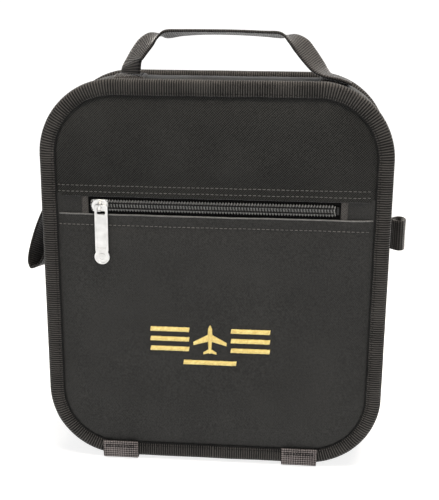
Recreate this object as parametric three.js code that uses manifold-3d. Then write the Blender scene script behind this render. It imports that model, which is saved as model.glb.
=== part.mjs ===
// A soft flight bag for a headset and papers: a padded shell with a zipped front pocket, and a back
// panel that unzips over the top and both sides and folds down about its bottom edge.
// Millimetres, +Z up, front towards -Y. The origin is on the floor, under the middle of the bag.
import * as THREE from "three";
import { mergeVertices } from "three/addons/utils/BufferGeometryUtils.js";
import Module from "manifold-3d";

const wasm = await Module();
wasm.setup();

// ---- driving dimensions -------------------------------------------------------------------------
const WIDTH = 240; // over the bindings
const TOP = 277; // height of the bindings' top
const STRAP_T = 1.6; // webbing
const BOTTOM = STRAP_T + 0.3; // underside of the bindings
const CORNER_R = 52;
const DEPTH = 80; // over both panels' bindings
const CORNER_STEPS = 8; // facets in a quarter turn
const GAP = 0.3; // between touching pieces

const TAPE_T = 0.8; // grosgrain binding tape
const BINDING_W = 10.5; // how much of a panel the binding covers
const BINDING_D = 8.5; // binding, front to back
const BINDING_BACK_W = 7.7; // the binding's inner leg
const FABRIC_T = 1.2; // pocket fabric, doubled where it is hemmed
const BOARD_T = 4.5; // foam padded panel
const LINING_T = 0.8;
const GUSSET_T = 2.5; // padded side wall
const GUSSET_IN = 8.3; // how far the side wall starts inside the outline
const GUSSET_CROWN = 6; // and how far it bulges out again half way

const FRONT = -DEPTH / 2;
const BACK = DEPTH / 2;
const CENTRE_X = WIDTH / 2 - CORNER_R;
const Z_HIGH = TOP - CORNER_R; // centres of the upper corners
const Z_LOW = BOTTOM + CORNER_R; // centres of the lower corners

const MAIN_ZIP_Y = 18; // centre line of the main zip
const MAIN_ZIP_WINDOW = 12; // between the fabric edges beside it
const MAIN_ZIP_END_Z = 70; // where it ends on both sides
const MAIN_SLIDER_Z = 82; // closed
const CHAIN_W = 6; // both halves of a closed coil
const MAIN_COIL_H = 2.2;
const ZIP_TAPE_T = 0.7;
const TAPE_W = 13; // each half of the main zip's tape
const HALF_GAP = 0.15; // from a zip's middle to each half chain

const POCKET = { x0: -87, x1: 86, z: 191.3, window: 13.4 }; // the front pocket's zip window
const POCKET_TAPE_T = 0.4;
const POCKET_COIL_H = 1.6;
const POCKET_SLIDER_X = -79;

const STRAP_Y = -5; // centre of the handle and of both side loops
const PATCH_T = 1.2;
const PATCH_GAP = 0.1;
const HANDLE = { x0: -62, x1: 80, width: 20, t: 2, rise: 30 };
const LOOP = { width: 22, leftTop: 184, rightMiddle: 168.5 };
const FOOT = { width: 26, left: -68, right: 63, front: 14, lip: 1.8 };

// ---- materials ----------------------------------------------------------------------------------
const finish = (colour, roughness, metalness = 0) =>
  new THREE.MeshStandardMaterial({ color: colour, roughness, metalness });
const MATERIAL = {
  polyester: finish(0x2b2b2a, 0.85),
  pocket_fabric: finish(0x333332, 0.8),
  grosgrain: finish(0x2a2827, 0.8),
  webbing: finish(0x3c3735, 0.75),
  zip_tape: finish(0x151515, 0.9),
  coil: finish(0x2e2e2e, 0.4),
  nickel: finish(0xd8d8d6, 0.3, 1),
  lining: finish(0x4a4c4e, 0.9),
  thread_gold: finish(0xe3cf72, 0.5),
};

const bag = new THREE.Group();
bag.name = "flight_bag";

function addMesh(name, geometry, material, parent = bag) {
  const mesh = new THREE.Mesh(geometry, material);
  mesh.name = name;
  parent.add(mesh);
  return mesh;
}

// ---- shapes -------------------------------------------------------------------------------------
/** A triangle mesh from points and index triples, turned to face outwards. */
function meshOf(points, triangles) {
  let volume = 0;
  for (const [a, b, c] of triangles)
    volume += points[a].dot(new THREE.Vector3().crossVectors(points[b], points[c]));
  const index = volume > 0 ? triangles.flat() : triangles.map(([a, b, c]) => [a, c, b]).flat();
  const geometry = new THREE.BufferGeometry().setFromPoints(points);
  geometry.setIndex(index);
  return geometry;
}

/** Joins a row of equal sections into one closed solid; a ring joins its last section to its first. */
function loft(sections, isRing) {
  const n = sections[0].length;
  const points = sections.flat();
  const triangles = [];
  const spans = isRing ? sections.length : sections.length - 1;
  for (let i = 0; i < spans; i++) {
    const here = i * n;
    const next = ((i + 1) % sections.length) * n;
    for (let j = 0; j < n; j++) {
      const k = (j + 1) % n;
      triangles.push([here + j, next + j, next + k], [here + j, next + k, here + k]);
    }
  }
  return { points, triangles };
}

/** Caps for an open loft, from the flat profile that every section repeats.
 *  Triangulation always turns anticlockwise, so a clockwise profile's triangles are turned over. */
function capsOf(profile, count) {
  const flat = profile.map(([a, b]) => new THREE.Vector2(a, b));
  const faces = THREE.ShapeUtils.triangulateShape(flat, []);
  const last = (count - 1) * profile.length;
  const turned = THREE.ShapeUtils.isClockWise(flat) ? faces.map(([a, b, c]) => [a, c, b]) : faces;
  return turned.flatMap(([a, b, c]) => [
    [a, b, c],
    [last + a, last + c, last + b],
  ]);
}

/** Stations along the panel's outline: the centre a corner turns about, and the direction out. */
const cornerStations = (sx, sz, from) =>
  Array.from({ length: CORNER_STEPS + 1 }, (_, i) => ({
    x: sx * CENTRE_X,
    z: sz > 0 ? Z_HIGH : Z_LOW,
    turn: THREE.MathUtils.degToRad(from + (90 * i) / CORNER_STEPS),
  }));
const RIGHT_TOP = cornerStations(1, 1, 0);
const LEFT_TOP = cornerStations(-1, 1, 90);
const LEFT_LOW = cornerStations(-1, -1, 180);
const RIGHT_LOW = cornerStations(1, -1, 270);
const WHOLE_OUTLINE = [...RIGHT_TOP, ...LEFT_TOP, ...LEFT_LOW, ...RIGHT_LOW];

/** Over the top, from a height on the right side to a height on the left side. */
const overTop = (z) => [
  { x: CENTRE_X, z, turn: 0 },
  ...RIGHT_TOP,
  ...LEFT_TOP,
  { x: -CENTRE_X, z, turn: Math.PI },
];

/** Under the bottom, from a height on the left side to the same height on the right side. */
const underBottom = (z) => [
  { x: -CENTRE_X, z, turn: Math.PI },
  ...LEFT_LOW,
  ...RIGHT_LOW,
  { x: CENTRE_X, z, turn: 2 * Math.PI },
];

/** Sweeps a profile of [y, distance inside the outline] points along stations of the outline. */
function sweep(stations, profile, isRing = false) {
  const sections = stations.map(({ x, z, turn }) =>
    profile.map(([y, inside]) => {
      const r = CORNER_R - inside;
      return new THREE.Vector3(x + r * Math.cos(turn), y, z + r * Math.sin(turn));
    }),
  );
  const { points, triangles } = loft(sections, isRing);
  const caps = isRing ? [] : capsOf(profile, stations.length);
  return meshOf(points, [...triangles, ...caps]);
}

/** The outline as a flat shape, drawn a given distance inside the bindings' edge. */
function outlineShape(inside) {
  const r = CORNER_R - inside;
  return new THREE.Shape(
    WHOLE_OUTLINE.map(({ x, z, turn }) => new THREE.Vector2(x + r * Math.cos(turn), z + r * Math.sin(turn))),
  );
}

/** A flat shape in x and z, made solid from y0 to y1. */
function slab(shape, y0, y1) {
  const settings = { depth: y1 - y0, bevelEnabled: false, curveSegments: 8 };
  const geometry = new THREE.ExtrudeGeometry(shape, settings);
  geometry.rotateX(Math.PI / 2);
  geometry.translate(0, y1, 0);
  return geometry;
}

function rectangle(x0, z0, x1, z1) {
  const corners = [[x0, z0], [x1, z0], [x1, z1], [x0, z1]];
  return new THREE.Shape(corners.map(([x, z]) => new THREE.Vector2(x, z)));
}

/** A box given by its lowest and highest corners. */
function box(x0, y0, z0, x1, y1, z1) {
  const geometry = new THREE.BoxGeometry(x1 - x0, y1 - y0, z1 - z0);
  geometry.translate((x0 + x1) / 2, (y0 + y1) / 2, (z0 + z1) / 2);
  return geometry;
}

function solidOf(geometry) {
  const bare = geometry.clone();
  for (const name of ["normal", "uv"]) bare.deleteAttribute(name);
  const merged = mergeVertices(bare, 1e-4);
  const vertProperties = new Float32Array(merged.attributes.position.array);
  const triVerts = new Uint32Array(merged.index.array);
  return new wasm.Manifold(new wasm.Mesh({ numProp: 3, vertProperties, triVerts }));
}

function geometryOf(solid) {
  const mesh = solid.getMesh();
  const geometry = new THREE.BufferGeometry();
  geometry.setAttribute("position", new THREE.BufferAttribute(new Float32Array(mesh.vertProperties), 3));
  geometry.setIndex(new THREE.BufferAttribute(new Uint32Array(mesh.triVerts), 1));
  return geometry;
}

const cut = (geometry, ...tools) =>
  geometryOf(tools.reduce((rest, tool) => rest.subtract(solidOf(tool)), solidOf(geometry)));
const join = (geometry, ...others) =>
  geometryOf(others.reduce((all, other) => all.add(solidOf(other)), solidOf(geometry)));
const common = (a, b) => geometryOf(solidOf(a).intersect(solidOf(b)));

/** A flat strap along a line of {at, across} stations, where across is the strap's width direction. */
function strap(stations, width, thickness) {
  const section = [[-1, -1], [1, -1], [1, 1], [-1, 1]];
  const last = stations.length - 1;
  const sections = stations.map(({ at, across }, i) => {
    const along = stations[Math.min(i + 1, last)].at.clone().sub(stations[Math.max(i - 1, 0)].at).normalize();
    const side = across.clone().addScaledVector(along, -across.dot(along)).normalize();
    const up = new THREE.Vector3().crossVectors(along, side);
    return section.map(([u, v]) =>
      at.clone().addScaledVector(side, (u * width) / 2).addScaledVector(up, (v * thickness) / 2),
    );
  });
  const { points, triangles } = loft(sections, false);
  return meshOf(points, [...triangles, ...capsOf(section, stations.length)]);
}

const vector = (x, y, z) => new THREE.Vector3(x, y, z);

// ---- side wall ----------------------------------------------------------------------------------
const WALL_FRONT = FRONT + BINDING_D - TAPE_T;
const WALL_BACK = -WALL_FRONT;

/** How far the side wall's outer face is inside the outline, at a depth. It bulges half way. */
const wallInside = (y) => GUSSET_IN - GUSSET_CROWN * Math.max(0, 1 - (y / (BACK - BINDING_D)) ** 2);

/** A band of the side wall from y0 to y1, under its outer face by a depth, of a thickness. */
function wallProfile(y0, y1, under, thickness, steps) {
  const ys = Array.from({ length: steps + 1 }, (_, i) => y0 + ((y1 - y0) * i) / steps);
  const outer = ys.map((y) => [y, wallInside(y) + under]);
  const inner = ys.map((y) => [y, wallInside(y) + under + thickness]).reverse();
  return [...outer, ...inner];
}

function addSideWall(body, lid) {
  const zipPath = overTop(MAIN_ZIP_END_Z);
  const band = (name, path, profile, material, parent) => {
    addMesh(name, sweep(path, profile), material, parent);
  };
  const frontEdge = MAIN_ZIP_Y - MAIN_ZIP_WINDOW / 2;
  const backEdge = MAIN_ZIP_Y + MAIN_ZIP_WINDOW / 2;
  const { polyester, zip_tape: tape, coil } = MATERIAL;
  band("side_wall_front", zipPath, wallProfile(WALL_FRONT, frontEdge, 0, GUSSET_T, 5), polyester, body);
  band("side_wall_back", zipPath, wallProfile(backEdge, WALL_BACK, 0, GUSSET_T, 2), polyester, lid);
  const bottomPath = underBottom(MAIN_ZIP_END_Z - GAP);
  const bottomBack = BACK - BINDING_D - GAP;
  band("bottom_wall", bottomPath, wallProfile(WALL_FRONT, bottomBack, 0, GUSSET_T, 7), polyester, body);

  const tapeUnder = GUSSET_T + GAP;
  const coilUnder = tapeUnder - GAP - MAIN_COIL_H;
  for (const [name, side, parent] of [["front", -1, body], ["back", 1, lid]]) {
    const from = MAIN_ZIP_Y + side * HALF_GAP;
    const tapeTo = from + side * TAPE_W;
    const coilTo = MAIN_ZIP_Y + (side * CHAIN_W) / 2;
    band(`main_zip_tape_${name}`, zipPath, wallProfile(from, tapeTo, tapeUnder, ZIP_TAPE_T, 2), tape, parent);
    const coilProfile = wallProfile(from, coilTo, coilUnder, MAIN_COIL_H, 1);
    band(`main_zip_coil_${name}`, zipPath, coilProfile, coil, parent);
  }
}

/** A patch sewn flat on the outside of the side wall. On the top it runs from x a to b, and on a
 *  side (sx is 1 on the right and -1 on the left) from z a to b. */
function wallPatch(sx, a, b, y0, y1) {
  const ends = sx
    ? [a, b].map((z) => ({ x: sx * CENTRE_X, z, turn: sx > 0 ? 0 : Math.PI }))
    : [a, b].map((x) => ({ x, z: Z_HIGH, turn: Math.PI / 2 }));
  return sweep(ends, wallProfile(y0, y1, -PATCH_GAP - PATCH_T, PATCH_T, 4));
}

// ---- front and back panels ----------------------------------------------------------------------
/** A grosgrain tape folded round a panel's edge: a channel that opens inwards. */
function bindingProfile(outerY, innerY) {
  const step = Math.sign(innerY - outerY) * TAPE_T;
  return [
    [outerY, 0],
    [outerY, BINDING_W],
    [outerY + step, BINDING_W],
    [outerY + step, TAPE_T],
    [innerY - step, TAPE_T],
    [innerY - step, BINDING_BACK_W],
    [innerY, BINDING_BACK_W],
    [innerY, 0],
  ];
}

const INSIDE_TAPE = TAPE_T + GAP; // where the layers under the binding end

function addFront(body) {
  const binding = sweep(WHOLE_OUTLINE, bindingProfile(FRONT, FRONT + BINDING_D), true);
  addMesh("front_binding", binding, MATERIAL.grosgrain, body);

  const y0 = FRONT + TAPE_T + GAP;
  const y1 = y0 + FABRIC_T;
  const cover = slab(outlineShape(INSIDE_TAPE), y0, y1);
  const { x0, x1, z, window } = POCKET;
  const high = z + window / 2;
  const low = z - window / 2;
  const everything = [-WIDTH, FRONT - 10];
  const upper = common(cover, box(...everything, high, WIDTH, BACK, TOP + 10));
  const lower = common(cover, box(...everything, -10, WIDTH, BACK, low));
  addMesh("pocket_upper_panel", upper, MATERIAL.polyester, body);
  addMesh("pocket_lower_panel", lower, MATERIAL.pocket_fabric, body);
  const between = box(...everything, low + GAP, WIDTH, BACK, high - GAP);
  const bandPiece = (from, to) => common(common(cover, between), box(from, FRONT - 10, 0, to, BACK, TOP));
  addMesh("pocket_end_tab_left", bandPiece(-WIDTH, x0), MATERIAL.pocket_fabric, body);
  addMesh("pocket_end_tab_right", bandPiece(x1, WIDTH), MATERIAL.pocket_fabric, body);

  // The zip sits in the window: each half has its tape, set back, and its coil in front of the tape.
  const tapeY = [y1 - POCKET_TAPE_T, y1];
  const coilY1 = tapeY[0] - GAP / 2;
  const coilY = [coilY1 - POCKET_COIL_H, coilY1];
  const slabIn = (name, [ya, yb], xa, xb, za, zb, material) =>
    addMesh(name, slab(rectangle(xa, Math.min(za, zb), xb, Math.max(za, zb)), ya, yb), material, body);
  const tapeX = [x0 + GAP, x1 - GAP];
  const stopX = tapeX[1] - 3.2;
  for (const [name, side] of [["upper", 1], ["lower", -1]]) {
    const from = z + side * HALF_GAP;
    const tapeTo = z + side * (window / 2 - 2 * GAP);
    const coilTo = z + (side * CHAIN_W) / 2;
    slabIn(`pocket_zip_tape_${name}`, tapeY, tapeX[0], tapeX[1], from, tapeTo, MATERIAL.zip_tape);
    slabIn(`pocket_zip_coil_${name}`, coilY, tapeX[0] + 2, stopX - GAP, from, coilTo, MATERIAL.coil);
  }
  const stopHalf = CHAIN_W / 2;
  slabIn("pocket_zip_stop", coilY, stopX, stopX + 2.4, z - stopHalf, z + stopHalf, MATERIAL.nickel);

  const boardY0 = y1 + GAP;
  const padding = slab(outlineShape(INSIDE_TAPE), boardY0, boardY0 + BOARD_T);
  addMesh("front_padding", padding, MATERIAL.polyester, body);
  const liningY0 = boardY0 + BOARD_T + GAP;
  const liningInside = GUSSET_IN + GUSSET_T + GAP;
  const lining = slab(outlineShape(liningInside), liningY0, liningY0 + LINING_T);
  addMesh("front_lining", lining, MATERIAL.lining, body);
  return coilY[0];
}

function addBack(lid) {
  const binding = sweep(WHOLE_OUTLINE, bindingProfile(BACK, BACK - BINDING_D), true);
  addMesh("back_binding", binding, MATERIAL.grosgrain, lid);
  const y1 = BACK - TAPE_T - GAP;
  addMesh("back_panel", slab(outlineShape(INSIDE_TAPE), y1 - FABRIC_T, y1), MATERIAL.polyester, lid);
  const boardY1 = y1 - FABRIC_T - GAP;
  const padding = slab(outlineShape(INSIDE_TAPE), boardY1 - BOARD_T, boardY1);
  addMesh("back_padding", padding, MATERIAL.polyester, lid);
  const liningY1 = boardY1 - BOARD_T - GAP;
  const liningInside = GUSSET_IN + GUSSET_T + ZIP_TAPE_T + 3 * GAP;
  const lining = slab(outlineShape(liningInside), liningY1 - LINING_T, liningY1);
  addMesh("back_lining", lining, MATERIAL.lining, lid);
}

// ---- embroidered badge --------------------------------------------------------------------------
const BADGE = { x: -2, z: 96.5, t: 0.6, barFrom: 15, barTo: 42, barH: 3.4, pitch: 7.2 };
const AEROPLANE = [
  [0, 11], [1.5, 9], [1.6, 4], [11.5, -1.5], [11.5, -4],
  [1.6, -1.4], [1.1, -6.5], [4.4, -9], [4.4, -10.6], [0, -9.4],
]; // half of its outline, from nose to tail

/** A plain aeroplane seen from above, between plain bars, with one more bar under it. */
function addBadge(body) {
  const y1 = FRONT + TAPE_T + GAP - PATCH_GAP;
  const stitch = (name, shape) => addMesh(name, slab(shape, y1 - BADGE.t, y1), MATERIAL.thread_gold, body);
  const half = AEROPLANE.map(([x, z]) => new THREE.Vector2(BADGE.x + x, BADGE.z + z));
  const mirrored = AEROPLANE.slice(1, -1).map(([x, z]) => new THREE.Vector2(BADGE.x - x, BADGE.z + z));
  stitch("badge_aeroplane", new THREE.Shape([...half, ...mirrored.reverse()]));
  const bar = (xa, xb, z) => rectangle(BADGE.x + xa, z - BADGE.barH / 2, BADGE.x + xb, z + BADGE.barH / 2);
  for (const row of [1, 0, -1]) {
    const z = BADGE.z + row * BADGE.pitch;
    stitch(`badge_bar_left_${row + 2}`, bar(-BADGE.barTo, -BADGE.barFrom, z));
    stitch(`badge_bar_right_${row + 2}`, bar(BADGE.barFrom, BADGE.barTo, z));
  }
  stitch("badge_underline", bar(-18.5, 18.5, 79.5));
}

// ---- zip sliders and pullers --------------------------------------------------------------------
const SLIDER = { length: 11, width: 8.4, plate: 1, flange: 1 };
const BAIL = { half: 3, leg: 1.2, width: 1.8, bar: 1.2, inside: 2.4 };
const PULLER = { length: 39, width: 8.6, t: 1.6, rail: 0.7, slotX: 2.8, slotZ: 5.6, round: 4.9 };
const PULLER_AXIS = GAP + SLIDER.plate + BAIL.inside / 2; // in front of the coil's face

/** A slider on a zip along X, whose coil's face is at y 0, seen from -Y. The bail is an arch that
 *  stands along Z, or along X if it is turned. One side can be left open. */
function sliderGeometry(coilH, isBailTurned, openSide) {
  const { length, width, plate, flange } = SLIDER;
  const face = box(-length / 2, -GAP - plate, -width / 2, length / 2, -GAP, width / 2);
  const flangeOn = (side) => {
    const [z0, z1] = side > 0 ? [width / 2 - flange, width / 2] : [-width / 2, -width / 2 + flange];
    return box(-length / 2, -GAP - plate / 2, z0, length / 2, coilH / 2, z1);
  };
  const flanges = [1, -1].filter((side) => side !== openSide).map(flangeOn);
  const root = -GAP - plate / 2;
  const barY = -GAP - plate - BAIL.inside;
  const { half, leg, width: w, bar } = BAIL;
  const arch = cut(
    box(-w / 2, barY - bar, -half, w / 2, root, half),
    box(-w, barY, -half + leg, w, 0, half - leg),
  );
  if (isBailTurned) arch.rotateY(Math.PI / 2);
  return join(face, arch, ...flanges);
}

/** A puller hanging down -Z from the rail of its own slot, which turns about X at the origin. */
function pullerGeometry() {
  const { length, width, t, rail, slotX, slotZ, round } = PULLER;
  const strip = slab(rectangle(-width / 2, -length + round, width / 2, rail), -t / 2, t / 2);
  const disc = new THREE.CylinderGeometry(round, round, t, 20);
  disc.translate(0, 0, -length + round);
  const slot = box(-slotX, -t, -slotZ, slotX, t, -rail);
  return cut(join(strip, disc), slot);
}

function addPocketSlider(body, coilFace) {
  const slider = sliderGeometry(POCKET_COIL_H, false, 0);
  slider.translate(POCKET_SLIDER_X, coilFace, POCKET.z);
  addMesh("pocket_slider", slider, MATERIAL.nickel, body);
  const puller = pullerGeometry();
  puller.rotateX(THREE.MathUtils.degToRad(2)); // it hangs in towards the fabric
  puller.translate(POCKET_SLIDER_X, coilFace - PULLER_AXIS, POCKET.z);
  addMesh("pocket_puller", puller, MATERIAL.nickel, body);
}

/** The main zip closes down the left side. Its slider leaves the back half's coil free to lift off. */
function addMainSlider(body) {
  const coilFace = WIDTH / 2 - wallInside(MAIN_ZIP_Y - CHAIN_W / 2) - GAP;
  const towardsLeft = new THREE.Matrix4().makeBasis(vector(0, 0, 1), vector(1, 0, 0), vector(0, 1, 0));
  const slider = sliderGeometry(MAIN_COIL_H, true, 1);
  slider.applyMatrix4(towardsLeft);
  slider.translate(-coilFace, MAIN_ZIP_Y, MAIN_SLIDER_Z);
  addMesh("main_slider", slider, MATERIAL.nickel, body);
  const puller = pullerGeometry();
  puller.rotateX(THREE.MathUtils.degToRad(-6)); // it lies over the patch at the zip's end
  puller.rotateZ(-Math.PI / 2);
  puller.translate(-coilFace - PULLER_AXIS, MAIN_ZIP_Y, MAIN_SLIDER_Z);
  addMesh("main_puller", puller, MATERIAL.nickel, body);
}

// ---- webbing ------------------------------------------------------------------------------------
const PATCH_TOP = wallInside(STRAP_Y) - PATCH_T - PATCH_GAP; // patches' outer face, inside the outline

function addHandle(body) {
  const { x0, x1, width, t, rise } = HANDLE;
  const base = TOP - PATCH_TOP + GAP;
  // Along the strap: x, height over the base, and how far its width is turned to face the front.
  const line = [
    [x0, 1.4, 90], [x0, 6, 74], [x0 + 2, 13, 56], [x0 + 6, 20, 36], [x0 + 13, 26, 17], [x0 + 26, rise, 5],
    [x0 + 48, rise + 1, 0], [x1 - 48, rise + 1, 0], [x1 - 31, rise - 0.5, -5], [x1 - 19, rise - 4, -17],
    [x1 - 9, 19, -36], [x1 - 3, 12, -56], [x1, 6, -74], [x1, 1.4, -90],
  ];
  const stations = line.map(([x, z, turn]) => {
    const a = THREE.MathUtils.degToRad(turn);
    return { at: vector(x, STRAP_Y, base + z), across: vector(Math.sin(a), Math.cos(a), 0) };
  });
  addMesh("handle", strap(stations, width, t), MATERIAL.webbing, body);
  for (const [name, x] of [["left", x0], ["right", x1]]) {
    const patch = wallPatch(0, x - 11, x + 11, STRAP_Y - width / 2, STRAP_Y + width / 2);
    addMesh(`handle_patch_${name}`, patch, MATERIAL.webbing, body);
  }
}

/** Both loops are webbing folded double: the left one hangs down, the right one stands out. */
function addSideLoops(body) {
  const wall = WIDTH / 2 - PATCH_TOP;
  const hanging = [
    [1.3, -2], [1.6, -12], [2.4, -24], [3.7, -34], [6, -42], [8.8, -46], [11.4, -46.2], [13, -43],
    [12.8, -38.5], [11.7, -32], [9.6, -22], [7.4, -12], [5.2, -4], [4.4, -1.5],
  ];
  const left = hanging.map(([out, z]) => ({
    at: vector(-wall - out, STRAP_Y, LOOP.leftTop + z),
    across: vector(0, 1, 0),
  }));
  addMesh("side_loop_left", strap(left, LOOP.width, STRAP_T), MATERIAL.webbing, body);

  const standing = [[2.4, 1.2], [3.6, 4.4], [5.6, 7.4], [8, 8.6], [10.4, 7.4], [12, 4.2]];
  const bothSides = [
    ...standing.map(([out, y]) => [out, -y]),
    [12.6, 0],
    ...standing.map(([out, y]) => [out, y]).reverse(),
  ];
  const right = bothSides.map(([out, y]) => ({
    at: vector(wall + out, STRAP_Y + y, LOOP.rightMiddle),
    across: vector(0, 0, 1),
  }));
  addMesh("side_loop_right", strap(right, LOOP.width, STRAP_T), MATERIAL.webbing, body);

  const half = LOOP.width / 2;
  const leftPatch = wallPatch(-1, LOOP.leftTop - 4, LOOP.leftTop + 14, STRAP_Y - half, STRAP_Y + half);
  const rightPatch = wallPatch(1, LOOP.rightMiddle - half, LOOP.rightMiddle + half, STRAP_Y - 8, STRAP_Y + 8);
  addMesh("loop_patch_left", leftPatch, MATERIAL.webbing, body);
  addMesh("loop_patch_right", rightPatch, MATERIAL.webbing, body);
  for (const [name, sx] of [["left", -1], ["right", 1]]) {
    const zEnd = MAIN_ZIP_END_Z - GAP;
    addMesh(`main_zip_end_${name}`, wallPatch(sx, zEnd - 17, zEnd, 10, 26), MATERIAL.polyester, body);
  }
}

/** Webbing that comes over the front's lower edge and runs under the bag, where the bag stands on it. */
function addFeet(body) {
  const y0 = FRONT - GAP - STRAP_T;
  const y1 = BACK - BINDING_D - GAP;
  const wallZ = BOTTOM + wallInside(y1 - STRAP_T) - GAP;
  for (const [name, x] of [["left", FOOT.left], ["right", FOOT.right]]) {
    const [xa, xb] = [x - FOOT.width / 2, x + FOOT.width / 2];
    const under = box(xa, y0, 0, xb, y1, STRAP_T);
    const lip = box(xa, y0, 0, xb, y0 + STRAP_T, FOOT.front);
    const rear = box(xa, y1 - STRAP_T, 0, xb, y1, wallZ);
    addMesh(`foot_strap_${name}`, join(under, lip, rear), MATERIAL.webbing, body);
  }
}

// ---- assembly -----------------------------------------------------------------------------------
const body = new THREE.Group();
const lid = new THREE.Group();
bag.add(body, lid);
addSideWall(body, lid);
const pocketCoilFace = addFront(body);
addBack(lid);
addBadge(body);
addPocketSlider(body, pocketCoilFace);
addMainSlider(body);
addHandle(body);
addSideLoops(body);
addFeet(body);

// Puts the middle of the bag's box over the origin.
const middle = new THREE.Box3().setFromObject(bag).getCenter(vector(0, 0, 0));
for (const part of [body, lid]) part.position.set(-middle.x, -middle.y, 0);

export default bag;
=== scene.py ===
"""The looks of a soft flight bag: cloth, grosgrain binding, webbing, coil zips and an embroidered badge."""
import math
import random

import bmesh
import bpy
import numpy as np
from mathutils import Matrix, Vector, noise
from mathutils.bvhtree import BVHTree


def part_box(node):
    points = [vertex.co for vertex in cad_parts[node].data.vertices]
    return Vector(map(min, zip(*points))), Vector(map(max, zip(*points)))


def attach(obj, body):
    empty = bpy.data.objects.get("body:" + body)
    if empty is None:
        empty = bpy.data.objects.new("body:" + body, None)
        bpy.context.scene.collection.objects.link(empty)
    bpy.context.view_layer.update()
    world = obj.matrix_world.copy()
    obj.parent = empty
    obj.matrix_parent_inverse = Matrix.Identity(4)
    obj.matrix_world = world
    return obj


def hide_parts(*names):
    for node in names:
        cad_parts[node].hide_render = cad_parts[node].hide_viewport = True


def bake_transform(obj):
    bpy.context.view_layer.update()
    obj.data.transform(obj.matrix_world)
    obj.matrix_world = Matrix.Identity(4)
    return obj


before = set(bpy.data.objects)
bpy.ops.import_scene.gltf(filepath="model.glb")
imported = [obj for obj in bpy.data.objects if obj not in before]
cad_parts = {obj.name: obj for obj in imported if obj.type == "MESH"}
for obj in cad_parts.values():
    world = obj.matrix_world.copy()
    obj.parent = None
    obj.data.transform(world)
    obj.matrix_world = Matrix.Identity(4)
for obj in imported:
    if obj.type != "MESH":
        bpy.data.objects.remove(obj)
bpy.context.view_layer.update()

MM = 0.001
random.seed(7)

# ---- measures, in millimetres, in a frame whose y is 0 half way between the two bindings
FRONT, BACK = -40.0, 40.0
FRONT_LOW, FRONT_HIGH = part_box("front_binding")
MIDDLE = Vector(((FRONT_LOW.x + FRONT_HIGH.x) / 2, FRONT_LOW.y - FRONT * MM, 0))
BOTTOM, TOP = FRONT_LOW.z / MM, FRONT_HIGH.z / MM
HALF_WIDTH = (FRONT_HIGH.x - FRONT_LOW.x) / 2 / MM
CORNER_R = 52
BINDING_W, BINDING_D = 10.5, 8.5
PANEL_Y = FRONT + 1.1  # the front's cloth before it is puffed out
TAB_Y = FRONT + 1.7  # the cloth over the ends of the pocket's zip
ZIP_X, ZIP_Z = (-87, 86), 191.3  # the pocket's zip
HEM_HIGH, HEM_LOW = ZIP_Z + 6.7, ZIP_Z - 6.7
SLIDER_X = -79
WALL_EDGE_IN, WALL_CROWN, WALL_HALF = 8.3, 7.2, 31.5  # the side wall: its edges, bulge and half depth
WALL_FRONT = FRONT + BINDING_D - 0.8
WALL_BACK = -WALL_FRONT
MAIN_ZIP_Y, MAIN_ZIP_END_Z, MAIN_SLIDER_Z = 18, 70, 82
ZIP_EDGE_FRONT, ZIP_EDGE_BACK = MAIN_ZIP_Y - 6, MAIN_ZIP_Y + 6
MAIN_COIL_X = HALF_WIDTH - 3.96  # the main zip's outer face, under the wall's
STRAP_Y = -5  # the middle of the handle and the loops
PATCH_STAND = 1.3  # how far the patches under them stand out of the wall


def at(x, y, z):
    """A point of the measures' frame as a point of the row frame, in metres."""
    return Vector((MIDDLE.x + x * MM, MIDDLE.y + y * MM, z * MM))


def measured(point):
    """A point of the row frame as a point of the measures' frame, in millimetres."""
    return (Vector(point) - MIDDLE) / MM


# ---- the outline that both bindings and the side wall follow
INNER_X = HALF_WIDTH - CORNER_R
LOW_Z, HIGH_Z = BOTTOM + CORNER_R, TOP - CORNER_R
ARC = CORNER_R * math.pi / 2
SIDE = HIGH_Z - LOW_Z
PERIMETER = 4 * INNER_X + 2 * SIDE + 4 * ARC


def outline(distance):
    """(x, z, outward x, outward z) that far anticlockwise from the middle of the bottom."""
    s = distance % PERIMETER
    corners = [(INNER_X, LOW_Z), (INNER_X, HIGH_Z), (-INNER_X, HIGH_Z), (-INNER_X, LOW_Z)]
    straights = [INNER_X, SIDE, 2 * INNER_X, SIDE, INNER_X]
    starts = [(0, LOW_Z), *corners]
    for i, length in enumerate(straights):
        turn = math.radians(-90 + 90 * i)
        out_x, out_z = math.cos(turn), math.sin(turn)
        if s <= length:
            cx, cz = starts[i][0] - out_z * s, starts[i][1] + out_x * s
            return cx + CORNER_R * out_x, cz + CORNER_R * out_z, out_x, out_z
        s -= length
        if s <= ARC:
            turn += s / CORNER_R
            cx, cz = corners[i]
            out_x, out_z = math.cos(turn), math.sin(turn)
            return cx + CORNER_R * out_x, cz + CORNER_R * out_z, out_x, out_z
        s -= ARC
    return 0, BOTTOM, 0, -1


def inside_outline(s, y, inside):
    """The point at a depth y and a distance inside the outline, s round it."""
    x, z, out_x, out_z = outline(s)
    return (x - out_x * inside, y, z - out_z * inside)


def right_side(z):
    """How far round the outline a height on the right side is; the left side is PERIMETER less that."""
    return INNER_X + ARC + z - LOW_Z


ZIP_FIRST = right_side(MAIN_ZIP_END_Z)  # the main zip's ends, round the outline
ZIP_LAST = PERIMETER - ZIP_FIRST


def depth_inside(x, z):
    """How far inside the outline a point of a panel is."""
    dx, dz = abs(x) - INNER_X, max(LOW_Z - z, z - HIGH_Z)
    if dx > 0 and dz > 0:
        return CORNER_R - math.hypot(dx, dz)
    return CORNER_R - max(dx, dz)


def wall_inside(y):
    """How far the side wall's outer face is inside the outline, at a depth: it bulges half way."""
    return WALL_EDGE_IN - WALL_CROWN * max(0, 1 - (y / WALL_HALF) ** 2)


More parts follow.
